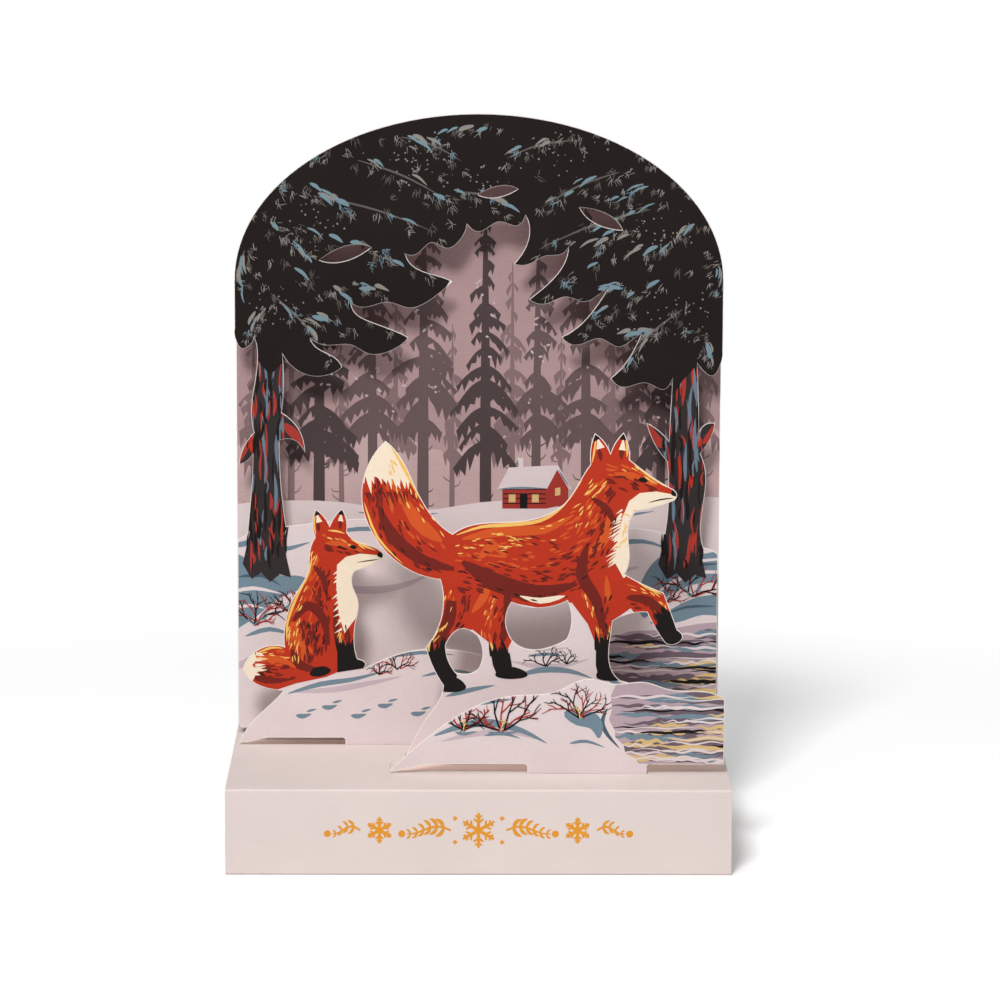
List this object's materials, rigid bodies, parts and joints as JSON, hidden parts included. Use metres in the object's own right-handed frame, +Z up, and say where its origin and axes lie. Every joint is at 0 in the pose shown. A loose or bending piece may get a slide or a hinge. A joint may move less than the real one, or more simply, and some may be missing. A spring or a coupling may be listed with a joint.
{
  "type": "pop-up greeting card",
  "caption": "Free-standing pop-up greeting card: folded base with layered die-cut winter forest scenes in front of an arched back panel.",
  "frame": {"origin": "middle of the footprint, on the floor the card stands on", "axes": "+X to the right as seen from the front, +Y from the front riser towards the back panel, +Z up"},
  "size_m": [0.1208, 0.0714, 0.1762],
  "materials": {
    "base_card": "matte uncoated off-white card",
    "back_panel_card": "matte card printed with a mauve sky, plain off-white behind",
    "front_bank_card": "matte card printed with pale snow, plain off-white behind",
    "front_figure_card": "matte card printed with a red fox on pale snow, plain off-white behind",
    "rear_figure_card": "matte card printed with a sitting red fox on pale snow, plain off-white behind",
    "forest_frame_card": "matte card printed with dark boughs, trunks and a pale hill, plain off-white behind",
    "link_card": "matte uncoated off-white card strips"
  },
  "bodies": {
    "root": {"base_tray": "base_card", "back_panel": "back_panel_card", "front_bank": "front_bank_card", "front_figure": "front_figure_card", "rear_figure": "rear_figure_card", "forest_frame": "forest_frame_card", "canopy_link_left": "link_card", "canopy_link_right": "link_card", "rear_figure_link": "link_card", "front_figure_link": "link_card", "front_bank_link": "link_card"}
  },
  "joints": []
}
